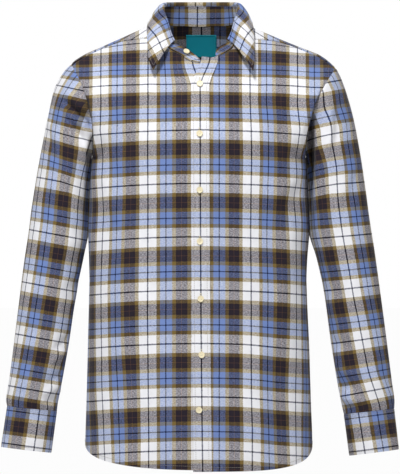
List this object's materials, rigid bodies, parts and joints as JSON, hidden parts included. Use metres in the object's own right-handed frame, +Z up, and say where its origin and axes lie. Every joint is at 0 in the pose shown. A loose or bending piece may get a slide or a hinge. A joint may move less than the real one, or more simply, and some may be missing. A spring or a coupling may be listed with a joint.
{
  "type": "flannel shirt",
  "caption": "Long-sleeved checked flannel shirt in its worn form with no wearer, with a turned collar, front placket, buttoned cuffs and a curved hem.",
  "frame": {"origin": "on the centre line at the height of the shoulders beside the neck, midway between front and back, where the wearer or a hanger holds the shirt", "axes": "+Z up along the shirt, -Y out of its front, +X towards the wearer's left sleeve"},
  "size_m": [0.6752, 0.2541, 0.7965],
  "materials": {
    "flannel": "matte brushed cotton in a white, blue, dark and olive check",
    "button": "satin cream",
    "label": "smooth woven"
  },
  "bodies": {
    "root": {"front_right": "flannel", "front_left": "flannel", "front_placket": "flannel", "back": "flannel", "yoke": "flannel", "sleeve_right": "flannel", "sleeve_left": "flannel", "cuff_right": "flannel", "cuff_left": "flannel", "sleeve_placket_right": "flannel", "sleeve_placket_left": "flannel", "collar_stand": "flannel", "collar_leaf": "flannel", "neck_label": "label", "button_1": "button", "button_2": "button", "button_3": "button", "button_4": "button", "button_5": "button", "button_6": "button", "button_7": "button", "button_collar": "button", "cuff_button_right": "button", "cuff_button_left": "button"}
  },
  "joints": []
}
